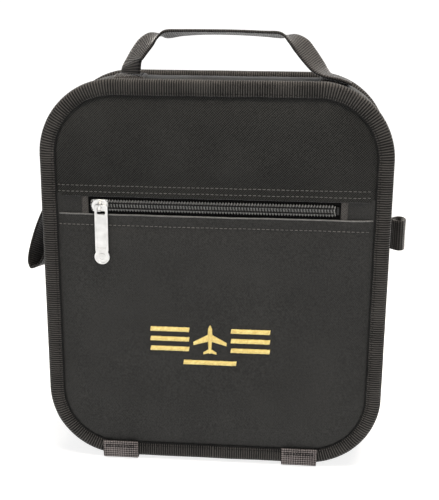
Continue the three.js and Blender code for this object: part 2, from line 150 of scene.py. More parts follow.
def wall_frame(s, y, under):
    """A point on the side wall, under its face by a depth, with its outward and backward directions."""
    _, _, out_x, out_z = outline(s)
    slope = 2 * WALL_CROWN * y / WALL_HALF**2  # how fast the wall turns inwards as y grows
    out = Vector((out_x, slope, out_z)).normalized()
    along_y = Vector((-out_x * slope, 1, -out_z * slope)).normalized()
    return Vector(inside_outline(s, y, wall_inside(y) + under)), out, along_y


def spread(first, last, pitch):
    """Evenly spaced values from first to last, about a pitch apart."""
    count = max(1, round(abs(last - first) / pitch))
    return [first + (last - first) * i / count for i in range(count + 1)]


def drift(a, b, c=0.0):
    """Smooth noise from about -1 to 1, the same in every run."""
    return noise.noise(Vector((a, b, c)))


def hill(*offsets):
    """1 where every offset is 0, falling to nearly 0 past 2."""
    return math.exp(-sum(offset * offset for offset in offsets))


# ---- meshes
def make_piece(name, mesh, uvs):
    """A smooth-shaded object, whose UV map "weave" holds a (u, v) in millimetres for each face corner."""
    layer = mesh.uv_layers.new(name="weave")
    layer.data.foreach_set("uv", [value for pair in uvs for value in pair])
    mesh.shade_smooth()
    thing = bpy.data.objects.new(name, mesh)
    bpy.context.scene.collection.objects.link(thing)
    return thing


def measure(points, is_loop=False):
    """The distance along a row of points, at each of them."""
    points = [Vector(p) for p in points]
    if is_loop:
        points.append(points[0])
    total = [0.0]
    for a, b in zip(points, points[1:]):
        total.append(total[-1] + (b - a).length)
    return total


def skin(name, rows, u=None, v=None, loop_rows=False, loop_columns=False, caps=False):
    """A skin over rows of points. u and v are its distances along and across."""
    n, m = len(rows), len(rows[0])
    faces, corners = [], []
    for i in range(n if loop_rows else n - 1):
        for j in range(m if loop_columns else m - 1):
            grid = [(i, j), (i + 1, j), (i + 1, j + 1), (i, j + 1)]
            faces.append([(a % n) * m + b % m for a, b in grid])
            corners += grid
    if caps:
        for i, order in ((0, 1), (n - 1, -1)):
            faces.append([i * m + j for j in range(m)][::order])
            corners += [(i, j) for j in range(m)][::order]
    u = u or measure([row[0] for row in rows], loop_rows)
    v = v or measure(rows[0], loop_columns)
    mesh = bpy.data.meshes.new(name)
    mesh.from_pydata([at(*p) for row in rows for p in row], [], faces)
    return make_piece(name, mesh, [(u[a], v[b]) for a, b in corners])


def swept(name, distances, profile, is_ring=False, closed=True):
    """Sweeps (y, distance inside the outline) points round the outline. profile gives them at s."""
    rows = [[inside_outline(s, y, inside) for y, inside in profile(s)] for s in distances]
    return skin(name, rows, loop_rows=is_ring, loop_columns=closed, caps=closed and not is_ring)


def smooth_path(points, steps):
    """A Catmull-Rom curve through points of any number of coordinates."""
    p = [np.array(q, float) for q in points]
    p = [2 * p[0] - p[1], *p, 2 * p[-1] - p[-2]]
    curve = []
    for a, b, c, d in zip(p, p[1:], p[2:], p[3:]):
        slope, bend, cubic = c - a, 2 * a - 5 * b + 4 * c - d, 3 * b - a - 3 * c + d
        for i in range(steps):
            t = i / steps
            curve.append(0.5 * (2 * b + slope * t + bend * t**2 + cubic * t**3))
    return [*curve, p[-2]]


def strap_section(width, thickness):
    """A strap's rounded section as (across, up) points, over its top and back under it."""
    w, t = width / 2, thickness / 2
    over = [(-w, -0.35 * t), (-w, 0.35 * t), (-w + 0.4 * t, 0.9 * t), (-w + 1.6, t)]
    over += [(-w / 2, 0.93 * t), (0, 0.9 * t), (w / 2, 0.93 * t)]
    over += [(w - 1.6, t), (w - 0.4 * t, 0.9 * t), (w, 0.35 * t), (w, -0.35 * t)]
    return over + [(x, -y) for x, y in over[-2:1:-1]]


def strap(name, stations, width, thickness):
    """Webbing along stations of (x, y, z, across x, across y, across z)."""
    path = smooth_path(stations, 8)
    section = strap_section(width, thickness)
    rows = []
    for i, station in enumerate(path):
        ahead = Vector(path[min(i + 1, len(path) - 1)][:3]) - Vector(path[max(i - 1, 0)][:3])
        ahead.normalize()
        across = Vector(station[3:6])
        square = across - ahead * across.dot(ahead)
        across, up = across / square.length, ahead.cross(square.normalized())
        middle = Vector(station[:3])
        rows.append([tuple(middle + across * a + up * b) for a, b in section])
    v = [a for a, _ in section] + [section[0][0]]
    return skin(name, rows, u=measure([p[:3] for p in path]), v=v, loop_columns=True, caps=True)


def tubes(name, lines, radius, sides=5, taper=0.6):
    """Fine round threads or wires along rows of points, as one mesh. Their ends are tapered."""
    points, faces, uvs = [], [], []
    for line in lines:
        line = [Vector(p) for p in line]
        base, last = len(points), len(line) - 1
        run = 0.0
        for i, p in enumerate(line):
            ahead = (line[min(i + 1, last)] - line[max(i - 1, 0)]).normalized()
            helper = Vector((0, 1, 0)) if abs(ahead.y) < 0.9 else Vector((1, 0, 0))
            a = ahead.cross(helper).normalized()
            b = ahead.cross(a)
            r = radius * (taper if i in (0, last) else 1)
            run += (p - line[i - 1]).length if i else 0
            for k in range(sides):
                turn = 2 * math.pi * k / sides
                points.append(at(*(p + a * r * math.cos(turn) + b * r * math.sin(turn))))
                uvs.append((run, turn * radius))
        rings = [[base + i * sides + k for k in range(sides)] for i in range(last + 1)]
        for near, far in zip(rings, rings[1:]):
            for k in range(sides):
                faces.append([near[k], far[k], far[(k + 1) % sides], near[(k + 1) % sides]])
        faces += [rings[0], rings[-1][::-1]]
    mesh = bpy.data.meshes.new(name)
    mesh.from_pydata(points, [], faces)
    return make_piece(name, mesh, [uvs[i] for face in faces for i in face])


def plate(name, outlines, thickness, bevel, place):
    """A flat plate with rounded edges. outlines are its edge and its holes, in its own x and y, and
    place turns a point (x, y, up from its middle) into the measures' frame."""
    curve = bpy.data.curves.new(name, "CURVE")
    curve.dimensions = "2D"
    curve.fill_mode = "BOTH"
    curve.extrude = thickness / 2 - bevel
    curve.bevel_depth = bevel
    curve.bevel_resolution = 2
    curve.offset = -bevel
    for points in outlines:
        line = curve.splines.new("POLY")
        line.points.add(len(points) - 1)
        for point, (x, y) in zip(line.points, points):
            point.co = (x, y, 0, 1)
        line.use_cyclic_u = True
    holder = bpy.data.objects.new(name, curve)
    mesh = bpy.data.meshes.new_from_object(holder)
    mesh.name = name
    bpy.data.objects.remove(holder)
    bpy.data.curves.remove(curve)
    uvs = [tuple(mesh.vertices[loop.vertex_index].co.xy) for loop in mesh.loops]
    for vertex in mesh.vertices:
        vertex.co = at(*place(*vertex.co))
    return make_piece(name, mesh, uvs)


def circle(x, y, radius, first=0, last=360):
    """Points round a circle or an arc of it, from one angle to another in degrees."""
    turns = spread(math.radians(first), math.radians(last), math.radians(360 / 28))
    turns = turns[:-1] if last - first == 360 else turns
    return [(x + radius * math.cos(t), y + radius * math.sin(t)) for t in turns]


def rounded(x0, y0, x1, y1, r):
    """A rectangle with rounded corners."""
    high, low = circle(x1 - r, y1 - r, r, 0, 90), circle(x0 + r, y0 + r, r, 180, 270)
    return high + circle(x0 + r, y1 - r, r, 90, 180) + low + circle(x1 - r, y0 + r, r, 270, 359.9)


FORWARD = (0, -1, 0)
STITCH_ARCH = ((0, -0.5), (0.16, 0.12), (0.5, 0.24), (0.84, 0.12), (1, -0.5))  # (share of length, rise)


def stitch_lines(points, normals, length=2.3, gap=0.9):
    """Short arched stitches along a path, each of which goes in and comes out of the cloth. normals
    has the cloth's outward direction at each point, or one direction for all."""
    normals = normals if isinstance(normals, list) else [normals] * len(points)
    total = measure(points)

    def along(s):
        i = max(0, min(len(total) - 2, int(np.searchsorted(total, s)) - 1))
        t = (s - total[i]) / max(total[i + 1] - total[i], 1e-9)
        p = Vector(points[i]).lerp(Vector(points[i + 1]), t)
        return p, Vector(normals[i]).lerp(Vector(normals[i + 1]), t)

    lines = []
    for k in range(int((total[-1] - 1) / (length + gap))):
        start = 0.5 + k * (length + gap)
        line = []
        for t, rise in STITCH_ARCH:
            p, out = along(start + t * length)
            line.append(p + out * rise)
        lines.append(line)
    return lines


def trim(thing, edge):
    """Drops a panel's faces that come within edge of the outline."""
    work = bmesh.new()
    work.from_mesh(thing.data)
    outside = []
    for face in work.faces:
        spots = [measured(vertex.co) for vertex in face.verts]
        if any(depth_inside(p.x, p.z) <= edge for p in spots):
            outside.append(face)
    bmesh.ops.delete(work, geom=outside, context="FACES")
    work.to_mesh(thing.data)
    work.free()


# ---- how pieces join the frame
def dress(thing, material, replaces=()):
    """Gives a piece its material, and the CAD nodes that it stands for."""
    thing.data.materials.append(material)
    if replaces:
        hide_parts(*replaces)


def wear(thing, body, material, replaces=()):
    """Dresses a piece that rides on one body."""
    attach(thing, body)
    dress(thing, material, replaces)


CLOTH_STEPS = 18
CLOTH_GROWTH = 0.006  # how much too large the cloth is cut
CLOTH_SETTINGS = {
    "quality": 5,
    "mass": 0.25,
    "tension_stiffness": 20,
    "compression_stiffness": 20,
    "shear_stiffness": 6,
    "bending_stiffness": 1.5,
    "vertex_group_mass": "pinned",
    "shrink_min": -CLOTH_GROWTH,
}


def settle(thing, is_pinned, push, cap):
    """Cloth simulation of a panel sewn down where it is pinned: the cloth is cut a little large, and
    the foam behind pushes it along y. A point moves no more than cap from where it started."""
    scene = bpy.context.scene
    group = thing.vertex_groups.new(name="pinned")
    start = np.array([v.co for v in thing.data.vertices])
    group.add([i for i, p in enumerate(start) if is_pinned(measured(p))], 1, "REPLACE")
    cloth = thing.modifiers.new("cloth", "CLOTH")
    for key, value in CLOTH_SETTINGS.items():
        setattr(cloth.settings, key, value)
    cloth.collision_settings.use_collision = False
    cloth.point_cache.frame_end = CLOTH_STEPS
    gravity = scene.gravity.copy()
    scene.gravity = (0, push, 0)
    for step in range(1, CLOTH_STEPS + 1):
        scene.frame_set(step)
    posed = thing.evaluated_get(bpy.context.evaluated_depsgraph_get())
    end = np.array([v.co for v in posed.data.vertices])
    thing.modifiers.remove(cloth)
    thing.vertex_groups.remove(group)
    scene.gravity = gravity
    scene.frame_set(1)
    moved = end - start
    moved[~np.isfinite(moved)] = 0
    reach = np.linalg.norm(moved, axis=1, keepdims=True)
    moved *= np.tanh(reach / (cap * MM)) * cap * MM / np.maximum(reach, 1e-9)
    for vertex, p in zip(thing.data.vertices, start + moved):
        vertex.co = p


# ---- materials
class Shader:
    """One Principled material, with short names for the nodes that feed it."""

    def __init__(self, name, roughness, metallic=0.0, sheen=0.0, specular=0.5):
        self.material = bpy.data.materials.new(name)
        self.material.use_nodes = True
        self.tree = self.material.node_tree
        self.out = self.tree.nodes["Principled BSDF"]
        self.out.inputs["Roughness"].default_value = roughness
        self.out.inputs["Metallic"].default_value = metallic
        self.out.inputs["Specular IOR Level"].default_value = specular
        self.out.inputs["Sheen Weight"].default_value = sheen
        self.out.inputs["Sheen Roughness"].default_value = 0.28
        self.u, self.v, _ = self.split(self.node("ShaderNodeUVMap", uv_map="weave").outputs[0])
        self.place = self.node("ShaderNodeTexCoord").outputs["Object"]

    def node(self, kind, **settings):
        made = self.tree.nodes.new(kind)
        for key, value in settings.items():
            setattr(made, key, value)
        return made

    def join(self, source, target):
        self.tree.links.new(source, target)

    def split(self, vector):
        made = self.node("ShaderNodeSeparateXYZ")
        self.join(vector, made.inputs[0])
        return made.outputs

    def math(self, operation, a, b=0.0, clamp=False):
        made = self.node("ShaderNodeMath", operation=operation, use_clamp=clamp)
        for socket, value in zip(made.inputs, (a, b)):
            if isinstance(value, (int, float)):
                socket.default_value = value
            else:
                self.join(value, socket)
        return made.outputs[0]

    def add(self, a, b, clamp=False):
        return self.math("ADD", a, b, clamp)

    def times(self, a, b):
        return self.math("MULTIPLY", a, b)

    def mix(self, a, b, share):
        """a and b added up, where b has this share of the whole."""
        return self.add(self.times(a, 1 - share), self.times(b, share))

    def ripple(self, value, pitch):
        """From -1 to 1 and back every pitch millimetres."""
        return self.math("SINE", self.times(value, 2 * math.pi / pitch))

    def raised(self, value):
        """From 0 to 1 where a value goes from -1 to 1."""
        return self.add(self.times(value, 0.5), 0.5)

    def grain(self, size, detail=2.0, rough=0.5):
        """Noise from 0 to 1, whose blotches are about size millimetres across."""
        made = self.node("ShaderNodeTexNoise")
        made.inputs["Scale"].default_value = 1000 / size
        made.inputs["Detail"].default_value = detail
        made.inputs["Roughness"].default_value = rough
        self.join(self.place, made.inputs["Vector"])
        return made.outputs["Fac"]

    def remap(self, value, low, high, to_low, to_high):
        made = self.node("ShaderNodeMapRange")
        self.join(value, made.inputs["Value"])
        ends = {"From Min": low, "From Max": high, "To Min": to_low, "To Max": to_high}
        for name, number in ends.items():
            made.inputs[name].default_value = number
        return made.outputs["Result"]

    def colours(self, factor, dark, light):
        made = self.node("ShaderNodeMix", data_type="RGBA")
        self.join(factor, made.inputs["Factor"])
        made.inputs["A"].default_value = (*dark, 1)
        made.inputs["B"].default_value = (*light, 1)
        self.join(made.outputs["Result"], self.out.inputs["Base Color"])

    def roughness(self, factor, low, high):
        self.join(self.remap(factor, 0, 1, low, high), self.out.inputs["Roughness"])

    def bump(self, height, strength, depth):
        """depth is the height of the relief, in millimetres."""
        made = self.node("ShaderNodeBump")
        made.inputs["Strength"].default_value = strength
        made.inputs["Distance"].default_value = depth * MM
        self.join(height, made.inputs["Height"])
        self.join(made.outputs["Normal"], self.out.inputs["Normal"])


def cloth_material(name, dark, light, pitch, twill, sheen, rough, speckle=0.5):
    """Woven polyester: over-and-under threads, broken up by uneven yarn, with slow shading changes."""
    s = Shader(name, rough, sheen=sheen, specular=0.08)
    weave = s.times(s.ripple(s.u, 2 * pitch), s.ripple(s.v, 2 * pitch))
    if twill:
        weave = s.mix(weave, s.ripple(s.add(s.u, s.v), 2.6 * pitch), 0.25)
    broken = s.mix(s.raised(weave), s.grain(1.1, 1.0), speckle)
    slow = s.remap(s.grain(45, 3.0, 0.6), 0.3, 0.7, -0.12, 0.12)
    s.colours(s.add(s.remap(broken, 0.32, 0.68, 0, 1), slow, clamp=True), dark, light)
    s.roughness(broken, rough - 0.08, rough + 0.1)
    s.bump(broken, 0.6, 0.22)
    return s.material


def rib_material(name, dark, light, pitch, depth, sheen, rough, cross_pitch=0.55, cross_share=0.12):
    """Grosgrain or webbing: ribs across the tape, each crossed by threads, with some fuzz."""
    s = Shader(name, rough, sheen=sheen, specular=0.12)
    fuzz_share = 0.3
    fuzz = s.grain(0.9, 2.0)
    rib = s.times(s.raised(s.ripple(s.u, pitch)), 0.84 - cross_share)
    cross = s.times(s.raised(s.ripple(s.v, cross_pitch)), cross_share)
    height = s.add(s.add(rib, cross), s.times(fuzz, fuzz_share))
    patches = s.remap(s.grain(18, 2.0), 0.3, 0.7, -0.18, 0.18)
    s.colours(s.add(s.remap(height, 0.3, 0.9, 0, 1), patches, clamp=True), dark, light)
    s.roughness(fuzz, rough - 0.1, rough + 0.1)
    s.bump(height, 0.9, depth)
    return s.material


def metal_material(name, shade):
    """Plated metal, a little uneven. A low shade makes it dark."""
    s = Shader(name, 0.3, metallic=1.0)
    dark, light = ([shade * c for c in tone] for tone in ((0.58, 0.58, 0.57), (0.76, 0.76, 0.75)))
    s.colours(s.remap(s.grain(6, 3.0), 0.3, 0.7, 0, 1), dark, light)
    s.roughness(s.grain(1.2, 3.0), 0.24, 0.42)
    s.bump(s.grain(0.35, 2.0), 0.15, 0.05)
    return s.material


def nylon_material(name, dark, light, rough):
    """Smooth drawn nylon, as in a zip's coils."""
    s = Shader(name, rough, specular=0.9)
    s.colours(s.grain(2.5, 2.0), dark, light)
    s.roughness(s.grain(1.0, 2.0), rough - 0.06, rough + 0.12)
    s.bump(s.grain(0.5, 1.0), 0.2, 0.05)
    return s.material


def thread_material(name, dark, light, rough, sheen, specular=0.6):
    """Twisted thread: fine turns along its length."""
    s = Shader(name, rough, sheen=sheen, specular=specular)
    twist = s.raised(s.ripple(s.add(s.u, s.v), 0.42))
    tone = s.add(s.times(twist, 0.45), s.times(s.grain(2.2, 3.0), 0.6))
    s.colours(s.remap(tone, 0.25, 0.8, 0, 1), dark, light)
    s.roughness(twist, rough - 0.08, rough + 0.1)
    s.bump(twist, 0.5, 0.06)
    return s.material


CLOTH = cloth_material(
    "coated_twill", (0.002, 0.002, 0.0018), (0.037, 0.037, 0.0348), 0.8, True, 0.4, 0.72, speckle=0.3,
)
POCKET_CLOTH = cloth_material(
    "pocket_cloth", (0.013, 0.013, 0.0127), (0.042, 0.042, 0.0405), 0.6, False, 0.15, 0.68,
)
GROSGRAIN = rib_material("grosgrain", (0.002, 0.002, 0.0019), (0.062, 0.058, 0.054), 1.62, 0.7, 0.3, 0.62)
WEBBING = rib_material(
    "webbing", (0.009, 0.008, 0.008), (0.225, 0.2, 0.195), 1.6, 0.6, 0.15, 0.6,
    cross_pitch=1.7, cross_share=0.36,
)
STRAP_WEBBING = rib_material(
    "strap_webbing", (0.003, 0.0028, 0.0027), (0.052, 0.048, 0.045), 1.5, 0.5, 0.7, 0.55,
    cross_pitch=1.3, cross_share=0.2,
)
ZIP_TAPE = cloth_material("zip_tape", (0.001, 0.001, 0.001), (0.006, 0.006, 0.006), 0.5, True, 0.0, 0.85)
# The coil's grey is lighter than the black tape: partly the nylon's own colour, partly a painted highlight
# standing in for the glints on its turns.
COIL = nylon_material("coil_nylon", (0.09, 0.09, 0.09), (0.22, 0.22, 0.21), 0.25)
NICKEL = metal_material("bright_nickel", 1.0)
DARK_METAL = metal_material("dark_nickel", 0.04)
# The hem fold's light colour is a painted highlight: the lit top edge of the folded hem.
HEM_EDGE_HIGHLIGHT = thread_material("hem_fold_painted_highlight", (0.05, 0.05, 0.048), (0.17, 0.17, 0.165), 0.45, 0.2, 0.5)
# Lighter cloth for the tabs' folded ends: the lighter colour is a painted highlight on the folds.
TAB_EDGE_HIGHLIGHT = cloth_material("tab_edge_painted_highlight", (0.018, 0.017, 0.016), (0.085, 0.08, 0.076), 0.7, True, 0.3, 0.66)
LINING = cloth_material(
    "lining_cloth", (0.035, 0.037, 0.04), (0.075, 0.078, 0.083), 0.3, False, 0.15, 0.6, speckle=0.35,
)
GOLD = thread_material("gold_thread", (0.62, 0.42, 0.09), (1.0, 0.88, 0.38), 0.34, 0.2)
DARK_THREAD = thread_material("dark_thread", (0.03, 0.03, 0.028), (0.13, 0.125, 0.115), 0.5, 0.1)
# Black thread for the seams, also used for the dark cord that stands in as painted shade in the groove
# beside each binding.
BLACK_THREAD_AND_GROOVE_SHADE = thread_material("black_thread_and_groove_shade", (0.003, 0.003, 0.003), (0.015, 0.015, 0.015), 0.7, 0.02, 0.1)


# ---- bindings
def binding(name, front_y, towards, body, node):
    """Grosgrain tape folded round a panel's edge. towards is 1 if the panel's inner side is at +y."""

    def profile(s):
        wobble = 0.35 * drift(s / 23, front_y) + 0.15 * drift(s / 5, 9, front_y)
        reach = BINDING_W + 0.45 * drift(s / 15, 4, front_y)
        face = [(1.25, reach), (0.62, reach + 0.1), (0.42, reach - 0.8), (0.12, reach - 3.4), (0.0, 5.2)]
        fold = [(0.25, 2.6), (1.1, 0.8 + wobble * 0.5), (2.6, 0.15 + wobble * 0.3), (4.2, wobble * 0.2)]
        fold += [(5.8, 0.15 + wobble * 0.3), (7.3, 0.9), (8.2, 2.6)]
        behind = [(8.5, 5.0), (8.35, 7.3), (8.1, 7.8), (7.7, 7.7)]
        inner = [(7.7, 5.0), (7.3, 2.6), (6.2, 1.4), (4.2, 1.0), (2.4, 1.3), (1.2, 2.6), (1.0, 6.0)]
        return [(front_y + towards * y, inside) for y, inside in face + fold + behind + inner]

    ring = swept(name, spread(0, PERIMETER, 2.4)[:-1], profile, is_ring=True)
    wear(ring, body, GROSGRAIN, [node])
    points = [inside_outline(s, front_y + towards * 0.2, 9.0) for s in spread(0, PERIMETER, 6)]
    seam = tubes(f"{name}_seam", stitch_lines(points, (0, -towards, 0), 2.2, 1.0), 0.2)
    wear(seam, body, BLACK_THREAD_AND_GROOVE_SHADE)
    # A black cord along the binding's inner edge, where the panel runs under it: a dark piece put there as
    # painted shade for the groove.
    shade_line_y, shade_line_inset = front_y + towards * 0.95, BINDING_W + 0.55
    edge = [inside_outline(s, shade_line_y, shade_line_inset) for s in spread(0, PERIMETER, 3)]
    wear(tubes(f"{name}_edge", [edge], 0.62, sides=6, taper=1), body, BLACK_THREAD_AND_GROOVE_SHADE)


# ---- the front pocket
CELL = 2.5  # the size of the front cloth's faces
STITCHES = (HEM_HIGH + 2.6, HEM_HIGH + 7.0, HEM_LOW - 7.2)
HEM_FOLD = ((0.12, -0.35), (0.45, -0.68), (0.9, -0.8), (1.4, -0.72), (1.75, -0.4), (1.85, 0.6), (1.7, 4.5))
FRONT_CLOTH = []  # a search tree of each of the front's two panels, as they lie after they were settled


def front_relief(x, z):
    """How far the front's cloth stands in front of the flat pocket."""
    d = depth_inside(x, z) - BINDING_W
    puff = 2.3 * (1 - math.exp(-max(d + 0.4, 0) / 5)) - 1.0
    waves = 0.55 * drift(x / 60, z / 48, 2) + 0.22 * drift(x / 24, z / 30, 7)
    belly = hill((z - 95) / 75) * max(0, 1 - (x / 118) ** 2)
    relief = puff + (waves + belly) * min(1, max(0, d / 14))
    for line in STITCHES:
        pucker = 0.8 + 0.3 * drift(x / 4.5, line, 3)
        relief -= 0.55 * pucker * hill((z - line) / 1.1)
    if z > ZIP_Z:
        return relief - 0.5 * math.exp(-(z - HEM_HIGH) / 9)
    relief -= 0.3 * math.exp(-(HEM_LOW - z) / 9)
    lifted_corner = 0.8 * hill((x - 98) / 8, (z - 181) / 3.2)
    under_puller = hill((x - SLIDER_X) / 9, (z - 160) / 18)
    return relief + lifted_corner - under_puller


def hem_wave(x, hem_z):
    """How far a hem strays from its straight line."""
    return 0.3 * drift(x / 22, hem_z, 1)


def front_cloth(name, z_values, hem_z, hem_side, material, nodes):
    """One of the pocket's two panels, from under the binding to the folded hem beside the zip."""
    xs = spread(-117.5, 117.5, CELL)
    rows = [[(x, PANEL_Y - front_relief(x, z), z) for x in xs] for z in z_values]
    for dy, dz in HEM_FOLD:
        z = hem_z + hem_side * dz
        rows.append([(x, PANEL_Y - front_relief(x, hem_z) + dy, z + hem_wave(x, hem_z)) for x in xs])
    panel = skin(name, rows, u=[i * CELL for i in range(len(rows))], v=xs)
    trim(panel, 2.0)

    def is_sewn(p):
        nearest = min(abs(p.z - line) for line in STITCHES + (HEM_HIGH, HEM_LOW))
        return depth_inside(p.x, p.z) < BINDING_W + 0.5 or nearest < 2.3

    settle(panel, is_sewn, -1.2, 1.3)
    wear(panel, "bag", material, nodes)
    corners, faces = [v.co for v in panel.data.vertices], [f.vertices for f in panel.data.polygons]
    FRONT_CLOTH.append(BVHTree.FromPolygons(corners, faces))


def on_front(x, z, above=0.0):
    """The point above the front's cloth, as it lies after it was settled."""
    for tree in FRONT_CLOTH:
        hit = tree.ray_cast(at(x, FRONT - 20, z), (0, 1, 0), 0.04)[0]
        if hit:
            return (x, measured(hit).y - above, z)
    return (x, PANEL_Y - front_relief(x, z) - above, z)


def make_pocket():
    front_cloth("pocket_upper_cloth", spread(HEM_HIGH, TOP - 2, CELL)[::-1], HEM_HIGH, 1,
                CLOTH, ["pocket_upper_panel", "front_padding"])
    front_cloth("pocket_lower_cloth", spread(BOTTOM + 2, HEM_LOW, CELL), HEM_LOW, -1,
                POCKET_CLOTH, ["pocket_lower_panel"])
    reach = HALF_WIDTH - BINDING_W
    lines = []
    for z in STITCHES:
        points = [on_front(x, z + 0.25 * drift(x / 12, z)) for x in spread(1 - reach, reach - 1, 4)]
        lines += stitch_lines(points, FORWARD)
    wear(tubes("pocket_stitches", lines, 0.27), "bag", DARK_THREAD)
    # A light tube along the lower panel's folded top edge; its colour is a painted highlight where the fold
    # catches the light from above.
    fold = [on_front(x, HEM_LOW - 0.9, -0.35) for x in spread(-reach, reach, 3)]
    fold = [(x, y, HEM_LOW + 0.3 + hem_wave(x, HEM_LOW)) for x, y, _ in fold]
    wear(tubes("pocket_hem_fold", [fold], 0.55, sides=8), "bag", HEM_EDGE_HIGHLIGHT)


# Sections of the folded cloth over the zip's ends, and of the strip along its folded end, whose lighter
# colour is a painted highlight: (past the end, y)
TAB_FOLD = (
    (0.3, 1.2), (0, 0.3), (0.2, -0.3), (0.8, -0.55), (2.6, -0.6), (4.3, -0.5), (4.8, -0.1), (5.4, 0.1),
)
TAB_HIGHLIGHT_STRIP = ((-0.1, 0.9), (-0.25, -0.2), (0.1, -0.75), (0.9, -0.95), (3.4, -0.95), (4.3, -0.8), (4.5, -0.1))


def make_pocket_tabs():
    """Folded cloth that covers the zip's ends, from the window's ends to the binding."""
    for name, sign, inner in (("left", -1, ZIP_X[0]), ("right", 1, ZIP_X[1])):
        section = [(inner + sign * dx, dy) for dx, dy in TAB_FOLD]
        section += [(x, 0) for x in spread(inner + 8 * sign, sign * (HALF_WIDTH - 3), 3)]
        rows, highlight_strip = [], []
        for z in spread(HEM_LOW - 1.5, HEM_HIGH + 1.5, 2):
            y = TAB_Y - 0.35 * math.cos((z - ZIP_Z) / 8)
            rows.append([(x, y + dy + 0.3 * drift(x / 9, z / 6, 5), z) for x, dy in section])
        for z in spread(ZIP_Z - 6.1, ZIP_Z + 6.1, 1.5):
            y = TAB_Y - 0.35 * math.cos((z - ZIP_Z) / 8)
            highlight_strip.append([(inner + sign * dx, y + dy, z) for dx, dy in TAB_HIGHLIGHT_STRIP])
        node = f"pocket_end_tab_{name}"
        wear(skin(f"pocket_tab_{name}", rows), "bag", POCKET_CLOTH, [node])
        # The strip along the tab's folded end is lighter than the tab: a painted highlight on the fold.
        wear(skin(f"pocket_tab_edge_{name}", highlight_strip), "bag", TAB_EDGE_HIGHLIGHT)


# ---- zips
COIL_PITCH = 2.0
POCKET_TAPE = ((0.1, 2.0), (3.7, 1.95), (4.1, 1.75), (6.0, 1.9), (8.5, 2.0))  # (from the middle, y)
MAIN_TAPE = ((0.15, 3.6), (3.2, 3.55), (6.5, 3.3), (13, 3.2), (13, 3.7), (6.5, 3.8), (0.15, 4.2))


def coil_wire(frame_at, length, side, depth, reach, phase):
    """The wire of one half of a coil zip. frame_at gives (point, outward, sideways) along it."""
    near, far = reach
    per_turn = 12
    wire = []
    for k in range(int(length / COIL_PITCH * per_turn)):
        turn = 2 * math.pi * k / per_turn
        point, out, sideways = frame_at(k * COIL_PITCH / per_turn + phase * COIL_PITCH)
        across = (near + far) / 2 - (far - near) / 2 * math.cos(turn)
        wire.append(point + out * (depth / 2 * math.sin(turn)) + sideways * (side * across))
    return wire


def make_pocket_zip():
    coil_y = FRONT + 1.05
    x0, x1 = ZIP_X[0] + 2, ZIP_X[1] - 4

    def frame_at(s):
        return Vector((x0 + s, coil_y, ZIP_Z)), Vector(FORWARD), Vector((0, 0, 1))

    xs = spread(ZIP_X[0] - 2, ZIP_X[1] + 2, 4)
    for name, side, phase in (("upper", 1, 0), ("lower", -1, 0.12)):
        wire = coil_wire(frame_at, x1 - x0, side, 1.6, (-0.3, 3.7), phase)
        coil = tubes(f"pocket_zip_teeth_{name}", [wire], 0.46, sides=6)
        wear(coil, "bag", COIL, [f"pocket_zip_coil_{name}"])
        rows = [[(x, FRONT + y, ZIP_Z + side * dz) for x in xs] for dz, y in POCKET_TAPE]
        tape = skin(f"pocket_zip_band_{name}", rows, u=[0, 4, 8, 12, 16], v=xs)
        wear(tape, "bag", ZIP_TAPE, [f"pocket_zip_tape_{name}"])
    cords = [[(x, coil_y - 0.8, ZIP_Z + side * 1.7) for x in spread(x0, x1, 4)] for side in (1, -1)]
    wear(tubes("pocket_zip_cords", cords, 0.72, sides=8), "bag", BLACK_THREAD_AND_GROOVE_SHADE)
    stop = plate("pocket_zip_end_stop", [rounded(-1.0, -2.6, 1.0, 2.6, 0.7)], 1.8, 0.4,
                 lambda x, y, up: (ZIP_X[1] - 2.3 + x, FRONT + 0.9 - up, ZIP_Z + y))
    wear(stop, "bag", DARK_METAL, ["pocket_zip_stop"])


def make_main_zip():
    def frame_at(s):
        return wall_frame(ZIP_FIRST + s, MAIN_ZIP_Y, 2.15)

    for name, side, body, phase in (("front", -1, "bag", 0.5), ("back", 1, "lid", 0)):
        wire = coil_wire(frame_at, ZIP_LAST - ZIP_FIRST - 1, side, 1.7, (-0.6, 2.7), phase)
        coil = tubes(f"main_zip_teeth_{name}", [wire], 0.5, sides=4)
        wear(coil, body, COIL, [f"main_zip_coil_{name}"])
        band = [(MAIN_ZIP_Y + side * dy, under) for dy, under in MAIN_TAPE]
        band = [(y, wall_inside(y) + under) for y, under in band]
        tape = swept(f"main_zip_band_{name}", spread(ZIP_FIRST, ZIP_LAST, 4), lambda s: band)
        wear(tape, body, ZIP_TAPE, [f"main_zip_tape_{name}"])


# ---- side wall
HEM_SEAM = 4.2  # how far from its edge a hem beside the main zip is sewn


def wall_cloth(name, first, last, y0, y1, hems, body, node, seed):
    """A padded band of the side wall. hems are the edges beside the zip, folded and sewn down, with
    the direction away from the zip."""
    ys = spread(y0, y1, 2.2)

    def rise(s, y):
        bumps = 0.5 * drift(s / 42, y / 22, seed) + 0.22 * drift(s / 14, y / 9, seed)
        return bumps * max(0, min(1, (y - WALL_FRONT) / 5, (WALL_BACK - y) / 5))

    def profile(s):
        outer = []
        for y in ys:
            up = rise(s, y)
            for hem, away in hems:
                d = away * (y - hem)
                up += 0.45 * hill((d - 1.2) / 1.6) - 0.4 * hill(d - HEM_SEAM)
            outer.append((y, wall_inside(y) - up))
        return outer + [(y, wall_inside(y) + 2.4) for y in reversed(ys)]

    band = swept(name, spread(first, last, 3), profile)
    wear(band, body, CLOTH, [node])
    for k, (hem, away) in enumerate(hems):
        y = hem + away * HEM_SEAM
        points, normals = [], []
        for s in spread(first + 2, last - 2, 5):
            point, out, _ = wall_frame(s, y, 0.35)
            points.append(tuple(point + out * rise(s, y)))
            normals.append(tuple(out))
        seam = tubes(f"{name}_stitches_{k}", stitch_lines(points, normals), 0.28)
        wear(seam, body, DARK_THREAD)


